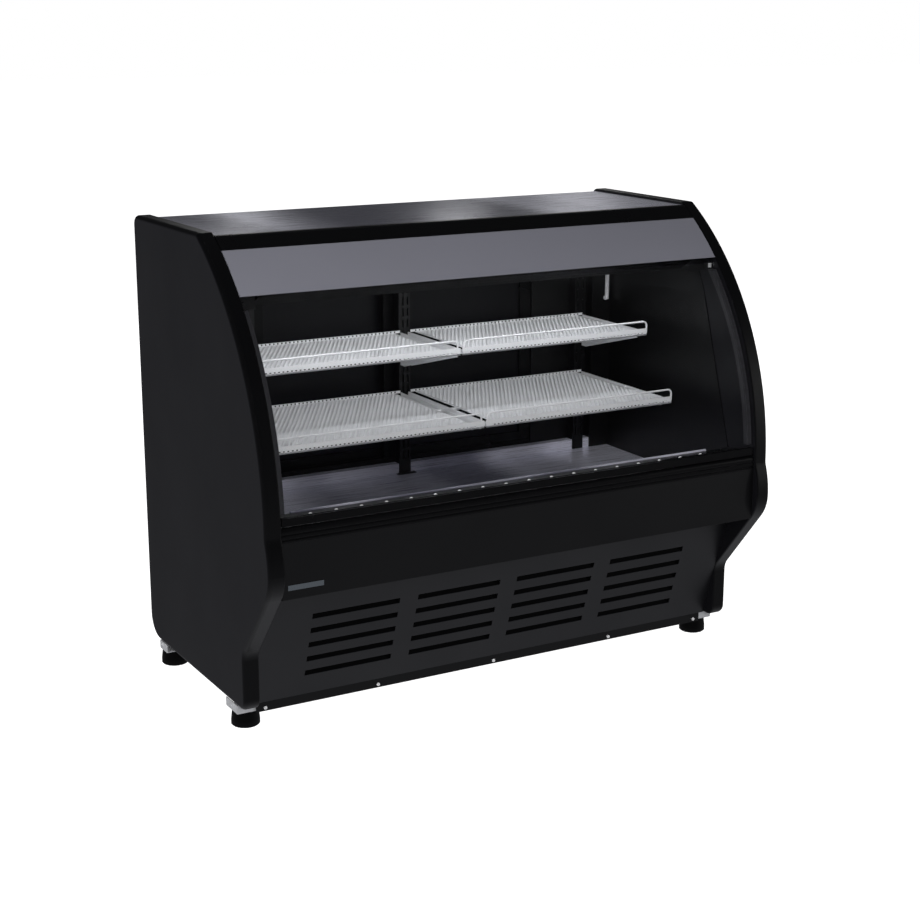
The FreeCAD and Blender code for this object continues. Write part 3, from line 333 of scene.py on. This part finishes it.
def moulded(name, band, face):
    """Satin black moulding with painted light: its flat outer face is painted a shade paler than its
    rolled edge, as if lit by the side lights.
    """
    material = surface(name, band, 0.4, specular=0.35, grain=1500, depth=0.00003, wander=0.03, edge=0)
    tree = material.node_tree
    shader = tree.nodes["Principled BSDF"]
    where = tree.nodes.new("ShaderNodeTexCoord")
    split = tree.nodes.new("ShaderNodeSeparateXYZ")
    size = tree.nodes.new("ShaderNodeMath")
    size.operation = "ABSOLUTE"
    flat = tree.nodes.new("ShaderNodeMapRange")
    flat.inputs["From Min"].default_value = 0.9
    flat.inputs["From Max"].default_value = 0.995
    tree.links.new(where.outputs["Normal"], split.inputs[0])
    tree.links.new(split.outputs["X"], size.inputs[0])
    tree.links.new(size.outputs[0], flat.inputs["Value"])
    # painted light: faces that point along X take the paler lit colour, the rolled edge keeps the darker
    # one
    mix = tree.nodes.new("ShaderNodeMix")
    mix.data_type = "RGBA"
    mix.inputs[7].default_value = (*face, 1)
    tree.links.new(flat.outputs["Result"], mix.inputs[0])
    tree.links.new(shader.inputs["Base Color"].links[0].from_socket, mix.inputs[6])
    tree.links.new(mix.outputs[2], shader.inputs["Base Color"])
    return material


def steel_with_painted_streaks(name):
    """Satin steel with painted reflections: broad soft bright bands in its colour, running from front to
    back, stand in for reflected streaks of light.
    """
    material, tree, shader = start(name)
    band = noise(tree, 2.6, (1, 0.05, 0.05), 1.0)
    grain = noise(tree, 500, (0.012, 1, 1), 2.0)
    span = tree.nodes.new("ShaderNodeMapRange")
    span.interpolation_type = "SMOOTHSTEP"
    span.inputs["From Min"].default_value = 0.38
    span.inputs["From Max"].default_value = 0.64
    tree.links.new(band, span.inputs["Value"])
    # painted reflection: the bands swing the colour from dark to near white
    tinted(tree, span.outputs["Result"], (0.17, 0.17, 0.22), (0.88, 0.88, 1.0),
           shader.inputs["Base Color"])
    spread(tree, grain, 0.24, 0.34, shader.inputs["Roughness"])
    shader.inputs["Metallic"].default_value = 0.45
    return material


FINISH = {
    # painted light: the side panels' outer face is painted paler than their rolled edge
    "side_moulding": moulded("moulded_side_painted_lit_face", (0.002, 0.002, 0.0024), (0.0080, 0.0080, 0.0098)),
    "black_extrusion": surface("black_extrusion", (0.003, 0.003, 0.0034), 0.3, specular=0.25,
                               stretch=(0.02, 1, 1), grain=900, depth=0.00001),
    "grey_fascia": surface("grey_fascia", (0.25, 0.25, 0.292), 0.5, grain=1100, depth=0.00002,
                           tint=0.03),
    "black_sheet": surface("black_sheet", (0.0034, 0.0034, 0.0038), 0.45, grain=1300,
                           depth=0.00003),
    # painted shade: a darker, duller copy of the black sheet for the canopy's underside and the blades
    # behind the grille slots
    "black_painted_shade": surface("black_painted_shade", (0.0012, 0.0012, 0.0013), 0.7, specular=0.15, grain=900),
    # painted light: a paler copy of the black sheet, lightened for the light on the sloping lower grille
    # panel
    "grille_black_painted_light": surface("grille_black_painted_light", (0.0062, 0.0062, 0.0076), 0.45, grain=1300,
                            depth=0.00003),
    # painted highlight: the grey hem stands in for the thin lit line along the upper panel's bottom edge
    "panel_hem_painted_highlight": surface("panel_hem_painted_highlight", (0.09, 0.09, 0.1), 0.3, grain=1300, depth=0.00002, edge=0),
    "black_plastic": surface("black_plastic", (0.006, 0.006, 0.0065), 0.5, grain=900),
    "lamp_diffuser": glowing("lamp_diffuser", (0.9, 0.93, 1), 1.5),
    "clear_glass": thin_glass("clear_glass", (0.92, 0.95, 0.96), 0.10),
    "door_glass": surface("door_glass", (0.004, 0.004, 0.005), 0.3, specular=0.3, grain=4,
                          depth=0.000002, edge=0, wander=0.02),
    # painted highlight: the pale grey of the right seal beads stands in for the bright streaks on them
    "seal_bead_painted_highlight": surface("seal_bead_painted_highlight", (0.14, 0.14, 0.155), 0.16, specular=0.8, grain=500, edge=0,
                         coat=1.0),
    "bright_alloy": surface("bright_alloy", (0.97, 0.97, 0.98), 0.35, grain=900,
                            tint=0.04, edge=0),
    "grey_seal": surface("grey_seal", (0.03, 0.03, 0.034), 0.4, grain=600),
    "zinc": surface("zinc", (0.84, 0.85, 0.87), 0.4, metallic=0.35, grain=90, patch=40, tint=0.1,
                    wander=0.08, depth=0.00006),
    # painted reflection streaks on the stainless parts
    "stainless": steel_with_painted_streaks("stainless"),
    "badge_metal": surface("badge_metal", (0.5, 0.56, 0.6), 0.3, metallic=1, grain=1500,
                           stretch=(0.05, 1, 1), edge=0),
    "black_well": surface("black_well", (0.005, 0.005, 0.0055), 0.5, grain=700),
    "black_liner": surface("black_liner", (0.003, 0.003, 0.0033), 0.42, grain=700),
    "white_coat": surface("white_coat", (0.82, 0.83, 0.85), 0.36, grain=1200, depth=0.00003,
                          tint=0.04, edge=0.0005),
    "white_plastic": surface("white_plastic", (0.82, 0.82, 0.84), 0.4, grain=700, tint=0.04),
    "machine_black": surface("machine_black", (0.02, 0.02, 0.02), 0.45, grain=300, depth=0.0001),
    "coil_fins": surface("coil_fins", (0.55, 0.56, 0.57), 0.35, metallic=1, grain=300, edge=0),
    "switch_red": surface("switch_red", (0.4, 0.02, 0.02), 0.25, grain=400, edge=0.0005),
    "foot_black": surface("foot_black", (0.0012, 0.0012, 0.0012), 0.4, specular=0.25, grain=600),
}


# the canopy underside takes the darker painted-shade black and the lower grille the paler painted-light
# black
SHADES = {"lower_grille_panel": "grille_black_painted_light", "canopy_ceiling": "black_painted_shade",
          "glass_stops": "black_plastic", "base_rail_screws": "bright_alloy"}


def dress():
    """Give every packed sub-part the finish of its own slot."""
    for row in frame["record"]["subparts"]:
        mesh = nodes[row["node"]].data
        finish = FINISH[SHADES.get(row["node"], row["material_slot"])]
        if not mesh.materials:
            mesh.materials.append(finish)
        for index in range(len(mesh.materials)):
            mesh.materials[index] = finish


# ---------------------------------------------------------------- mesh building
class Solid:
    """Points and faces gathered for one piece."""

    def __init__(self):
        self.points = []
        self.faces = []

    def add(self, points, faces):
        """Add faces given by indices into their own points."""
        first = len(self.points)
        self.points += [tuple(point) for point in points]
        self.faces += [tuple(first + index for index in face) for face in faces]

    def loft(self, rings, closed=False):
        """Join equal rings of points, and cap both ends unless they close on themselves."""
        count = len(rings[0])
        points = [point for ring in rings for point in ring]
        faces = []
        for row in range(len(rings) if closed else len(rings) - 1):
            here, there = row * count, (row + 1) % len(rings) * count
            for i in range(count):
                j = (i + 1) % count
                faces.append((here + i, here + j, there + j, there + i))
        if not closed:
            faces += [tuple(range(count)), tuple(range(len(points) - count, len(points)))]
        self.add(points, faces)

    def prism(self, outline, low, high):
        """An outline in (y, z), run along X."""
        self.loft([[(x, y, z) for y, z in outline] for x in (low, high)])

    def block(self, low, high):
        """A block between two corners."""
        self.prism([(low[1], low[2]), (high[1], low[2]), (high[1], high[2]), (low[1], high[2])],
                   low[0], high[0])

    def turn(self, centre, axis, profile, steps=20):
        """A profile of (radius, height) turned about an axis through a point."""
        axis = Vector(axis).normalized()
        side = axis.orthogonal().normalized()
        other = axis.cross(side)
        rings = []
        for radius, height in profile:
            middle = Vector(centre) + axis * height
            rings.append([middle + (side * math.cos(a) + other * math.sin(a)) * radius
                          for a in (2 * math.pi * k / steps for k in range(steps))])
        self.loft(rings)

    def piece(self, name, slot, replaces=(), material=None):
        """Make the object, with smooth faces and sharp edges past the crease angle."""
        mesh = bpy.data.meshes.new(name)
        mesh.from_pydata(self.points, [], self.faces)
        work = bmesh.new()
        work.from_mesh(mesh)
        bmesh.ops.remove_doubles(work, verts=work.verts, dist=WELD)
        bmesh.ops.recalc_face_normals(work, faces=work.faces)
        for face in work.faces:
            face.smooth = True
        limit = math.radians(CREASE_DEGREES)
        for edge in work.edges:
            edge.smooth = len(edge.link_faces) == 2 and edge.calc_face_angle(0) < limit
        work.to_mesh(mesh)
        work.free()
        mesh.materials.append(material or FINISH[slot])
        item = bpy.data.objects.new(name, mesh)
        scene.collection.objects.link(item)
        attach(item, CASE)
        if replaces:
            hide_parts(*replaces)


def rounded(corners, steps=6):
    """An outline of (a, b, radius) corners with each corner turned into an arc."""
    outline = []
    count = len(corners)
    for i, (a, b, radius) in enumerate(corners):
        here = Vector((a, b))
        if radius <= 0:
            outline.append((a, b))
            continue
        back = (Vector(corners[i - 1][:2]) - here).normalized()
        ahead = (Vector(corners[(i + 1) % count][:2]) - here).normalized()
        half = back.angle(ahead) / 2
        reach = radius / math.tan(half)
        centre = here + (back + ahead).normalized() * (radius / math.sin(half))
        first = here + back * reach - centre
        last = here + ahead * reach - centre
        turn = first.angle_signed(last)
        for k in range(steps + 1):
            angle = -turn * k / steps
            c, s = math.cos(angle), math.sin(angle)
            outline.append((centre.x + first.x * c - first.y * s,
                            centre.y + first.x * s + first.y * c))
    return outline


def roll(y, z, radius, half_steps=8):
    """The round section of a rolled edge in (y, z): its middle at y and its lowest point at z."""
    angles = [math.pi * k / half_steps for k in range(2 * half_steps)]
    return [(y + radius * math.cos(a), z + radius + radius * math.sin(a)) for a in angles]


# ---------------------------------------------------------------- shelves
def holed_sheet(solid, low, high, top, under):
    """A flat sheet with staggered eight-sided holes between two corners in (x, y)."""
    left, front = low[0] + MESH_MARGIN, low[1] + MESH_MARGIN
    right, rear = high[0] - MESH_MARGIN, high[1] - MESH_MARGIN
    wide, deep = high[0] - low[0] - 2 * MESH_MARGIN, high[1] - low[1] - 2 * MESH_MARGIN
    columns = int(wide / MESH_PITCH - 0.5)
    step_x = wide / (columns + 0.5)
    rows = int(deep / (MESH_PITCH * ROW_RATIO))
    step_y = deep / rows
    for a, b in (((low[0], low[1]), (high[0], front)), ((low[0], rear), (high[0], high[1])),
                 ((low[0], front), (left, rear)), ((right, front), (high[0], rear))):
        solid.block((a[0], a[1], under), (b[0], b[1], top))
    rim = [(0, 0), (0.5, 0), (1, 0), (1, 0.5), (1, 1), (0.5, 1), (0, 1), (0, 0.5)]
    for row in range(rows):
        y = front + row * step_y
        shift = step_x / 2 if row % 2 else 0
        for column in range(columns):
            x = left + shift + column * step_x
            outer = [(x + a * step_x, y + b * step_y) for a, b in rim]
            cx, cy = x + step_x / 2, y + step_y / 2
            inner = []
            for px, py in outer:
                angle = math.atan2(py - cy, px - cx)
                inner.append((cx + MESH_HOLE_RADIUS * math.cos(angle),
                              cy + MESH_HOLE_RADIUS * math.sin(angle)))
            points = []
            for z in (top, under):
                points += [(px, py, z) for px, py in outer] + [(px, py, z) for px, py in inner]
            faces = []
            for i in range(8):
                j = (i + 1) % 8
                faces += [(i, j, 8 + j, 8 + i), (16 + j, 16 + i, 24 + i, 24 + j),
                          (8 + i, 8 + j, 24 + j, 24 + i)]
            solid.add(points, faces)
        ends = (left, left + step_x / 2) if row % 2 else (right - step_x / 2, right)
        outline = [(ends[0], y), (ends[1], y), (ends[1], y + step_y / 2), (ends[1], y + step_y),
                   (ends[0], y + step_y), (ends[0], y + step_y / 2)]
        solid.add([(*p, top) for p in outline] + [(*p, under) for p in outline],
                  [tuple(range(6)), tuple(range(11, 5, -1))])


def holed_strip(solid, low, high, hole, middle):
    """An upright strip between two corners with one row of square holes at a height."""
    (x0, y0, z0), (x1, y1, z1) = low, high
    count = int((x1 - x0) / HOLE_PITCH) - 1
    first = (x0 + x1 - count * HOLE_PITCH) / 2
    solid.block((x0, y0, z0), (x1, y1, middle - hole / 2))
    solid.block((x0, y0, middle + hole / 2), (x1, y1, z1))
    edges = [x0]
    for k in range(count):
        centre = first + (k + 0.5) * HOLE_PITCH
        edges += [centre - hole / 2, centre + hole / 2]
    edges.append(x1)
    for a, b in zip(edges[::2], edges[1::2]):
        solid.block((a, y0, middle - hole / 2), (b, y1, middle + hole / 2))


def shelves():
    """Perforated shelves with a holed lip in front and a holed flange behind."""
    for tier in ("upper", "lower"):
        for side, sign in (("left", -1), ("right", 1)):
            node = f"shelf_{tier}_{side}"
            low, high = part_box(node)
            top = low.z + LIP_RISE
            near, far = (low.x, high.x) if sign > 0 else (-high.x, -low.x)
            solid = Solid()
            left, right = sorted((sign * (near + MESH_INNER_GAP), sign * (far - MESH_OUTER_GAP)))
            holed_sheet(solid, (left, low.y + SHEET_THICKNESS), (right, high.y), top,
                        top - SHEET_THICKNESS)
            holed_strip(solid, low, (high.x, low.y + SHEET_THICKNESS, high.z), LIP_HOLE,
                        top - LIP_HOLE_DROP)
            hem = roll(low.y + SHEET_THICKNESS / 2, low.z, HEM_RADIUS, 6)
            hem = [(max(y, low.y), z) for y, z in hem]
            solid.prism(hem, low.x, high.x)
            left, right = sorted((sign * (near + FLANGE_INNER_GAP), sign * (far - FLANGE_OUTER_GAP)))
            holed_strip(solid, (left, high.y - SHEET_THICKNESS, top),
                        (right, high.y, top + FLANGE_RISE), FLANGE_HOLE, top + FLANGE_HOLE_RISE)
            solid.piece(f"{node}_perforated", "white_coat", replaces=(node,))


# ---------------------------------------------------------------- front of the lower body
def nose():
    """The rounded black extrusion under the glass, with its two long grooves and its flat ledge."""
    low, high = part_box("front_nose_profile")
    front, base, top = low.y, low.z, high.z
    outline = [(front, base, 0.0015)]
    for start_z in GROOVE_STARTS:
        z, back, end_z = base + start_z, front + GROOVE_DEPTH, base + start_z + GROOVE_HEIGHT
        outline += [(front, z, 0.0008), (back, z, 0.0005), (back, end_z, 0.0005), (front, end_z, 0.0008)]
    under, wall = top - LEDGE_THICKNESS, front + NOSE_WALL
    outline += [(front, top, NOSE_RADIUS), (high.y, top, 0.001), (high.y, under, 0),
                (wall, under, 0), (wall, base, 0)]
    solid = Solid()
    solid.prism(rounded(outline), low.x, high.x)
    solid.piece("nose_bullnose", "black_extrusion", replaces=("front_nose_profile",))


def rivets():
    """Bright domed rivet heads along the ledge."""
    low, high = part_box("ledge_rivets")
    radius = (high.y - low.y) / 2
    middle = (low.y + high.y) / 2
    pitch = (high.x - low.x - 2 * radius) / (RIVET_COUNT - 1)
    solid = Solid()
    profile = [(radius, 0), (radius, RIVET_HEIGHT * RIVET_RIM)]
    profile += [(radius * math.cos(a), RIVET_HEIGHT * (RIVET_RIM + (1 - RIVET_RIM) * math.sin(a)))
                for a in RIVET_ANGLES]
    for k in range(RIVET_COUNT):
        solid.turn((low.x + radius + k * pitch, middle, low.z), (0, 0, 1), profile)
    solid.piece("ledge_rivet_domes", "stainless", replaces=("ledge_rivets",),
                material=FINISH["bright_alloy"])


def louvre_blades():
    """The pressed blade behind each slot of the front grille, slanting up and inwards."""
    tilt = math.radians(GRILLE_TILT)
    foot = Vector(GRILLE_FOOT)
    across = Vector((0, math.cos(tilt), math.sin(tilt)))
    up = Vector((0, -math.sin(tilt), math.cos(tilt)))
    solid = Solid()
    for level in range(SLOT_LEVELS):
        z = SLOT_BASE + SLOT_PITCH * level
        for x0, x1 in SLOT_SPANS:
            rings = []
            for x in (x0 - BLADE_OVERLAP, x1 + BLADE_OVERLAP):
                rings.append([foot + Vector((x, 0, 0)) + across * a + up * (z + b)
                              for a, b in BLADE_SECTION])
            solid.loft(rings)
    # the blades take the darker painted-shade black
    solid.piece("grille_louvre_blades", "black_sheet", material=FINISH["black_painted_shade"])


def hems():
    """Rolled bottom edges of the upper front panel and of the fascia."""
    # the upper panel's hem takes the grey painted-highlight finish
    for node, name, slot, radius, material in (
            ("upper_front_panel", "upper_panel_hem", "black_sheet", PANEL_HEM_RADIUS,
             FINISH["panel_hem_painted_highlight"]),
            ("canopy_fascia", "fascia_hem", "grey_fascia", FASCIA_HEM_RADIUS, None)):
        low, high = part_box(node)
        solid = Solid()
        solid.prism(roll(low.y + radius, low.z, radius), low.x + HEM_INSET, high.x - HEM_INSET)
        solid.piece(name, slot, material=material)


def gaskets():
    """The two round beads of the seal that the bent glass closes against, at each end."""
    low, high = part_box("glass_gaskets")
    # the right beads are painted pale grey as a highlight; the left ones stay black
    for side, sign, finish in (("left", -1, "black_plastic"), ("right", 1, "seal_bead_painted_highlight")):
        solid = Solid()
        for inset, bead in BEADS:
            x = high.x - inset
            rings = []
            for k in range(BEAD_STEPS + 1):
                run = high.z - low.z - 2 * BEAD_END_GAP
                z = low.z + BEAD_END_GAP + run * k / BEAD_STEPS
                reach = GLASS_RADIUS - bead
                y = GLASS_CENTRE_Y - math.sqrt(reach ** 2 - (z - GLASS_CENTRE_Z) ** 2)
                out = Vector((0, GLASS_CENTRE_Y - y, GLASS_CENTRE_Z - z)).normalized()
                rings.append([Vector((sign * x, y, z)) + out * bead * math.cos(a)
                              + Vector((bead * math.sin(a), 0, 0))
                              for a in (2 * math.pi * i / BEAD_SIDES for i in range(BEAD_SIDES))])
            solid.loft(rings)
        solid.piece(f"glass_seal_beads_{side}", "grey_seal", material=FINISH[finish])


def stop_plate():
    """The small bright plate that holds the right-hand glass stop under the fascia."""
    low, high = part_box("glass_stops")
    solid = Solid()
    front, back = [low.y - depth for depth in STOP_PLATE_FACES]
    base, top = low.z + STOP_PLATE_MARGIN, high.z - STOP_PLATE_MARGIN
    outline = [(front, base, 0.001), (back, base, 0), (back, top, 0), (front, top, 0.001)]
    left, right = [high.x - inset for inset in STOP_PLATE_SPAN]
    solid.prism(rounded(outline, 3), left, right)
    solid.piece("glass_stop_plate", "zinc")


# ---------------------------------------------------------------- inside and machinery
def post_foot():
    """The small black flange and two screws that hold the centre post to the deck."""
    low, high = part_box("centre_post")
    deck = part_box("deck_pan")[0].z + DECK_SHEET
    base, top = deck + POST_FLANGE_LIFT, deck + POST_FLANGE_THICKNESS
    front, back = [low.y - depth for depth in POST_FLANGE_FACES]
    solid = Solid()
    solid.prism(rounded([(front, base, 0), (back, base, 0), (back, top, 0), (front, top, 0.001)]),
                low.x - POST_FLANGE_OVERHANG, high.x + POST_FLANGE_OVERHANG)
    for x in (low.x - POST_SCREW_OVERHANG, high.x + POST_SCREW_OVERHANG):
        solid.turn((x, low.y - POST_SCREW_REACH, top), (0, 0, 1), POST_SCREW_PROFILE, 14)
    solid.piece("post_foot_flange", "black_sheet")


def fins(node, name, pitch):
    """A pack of thin fins on straight tubes, in the space of a coil block."""
    low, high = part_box(node)
    solid = Solid()
    left, right = low.x + FIN_END_GAP, high.x - FIN_END_GAP
    count = int((right - left) / pitch)
    for k in range(count + 1):
        x = left + k * (right - left) / count - FIN_THICKNESS / 2
        solid.block((x, low.y, low.z), (x + FIN_THICKNESS, high.y, high.z))
    rows = max(2, int((high.z - low.z) / TUBE_PITCH))
    middle = (low.y + high.y) / 2
    tube = [(TUBE_RADIUS, 0), (TUBE_RADIUS, high.x - low.x - 2 * TUBE_INSET)]
    for k in range(rows):
        z = low.z + (k + 0.5) * (high.z - low.z) / rows
        solid.turn((low.x + TUBE_INSET, middle, z), (1, 0, 0), tube, 12)
    solid.piece(name, "coil_fins", replaces=(node,))


# ---------------------------------------------------------------- scene
camera()
world()
floor()
lights()
dress()
shelves()
nose()
rivets()
louvre_blades()
hems()
gaskets()
stop_plate()
post_foot()
fins("condenser_coil", "condenser_fin_pack", 0.0032)
fins("evaporator_coil", "evaporator_fin_pack", 0.006)
scene.view_settings.view_transform = "Standard"
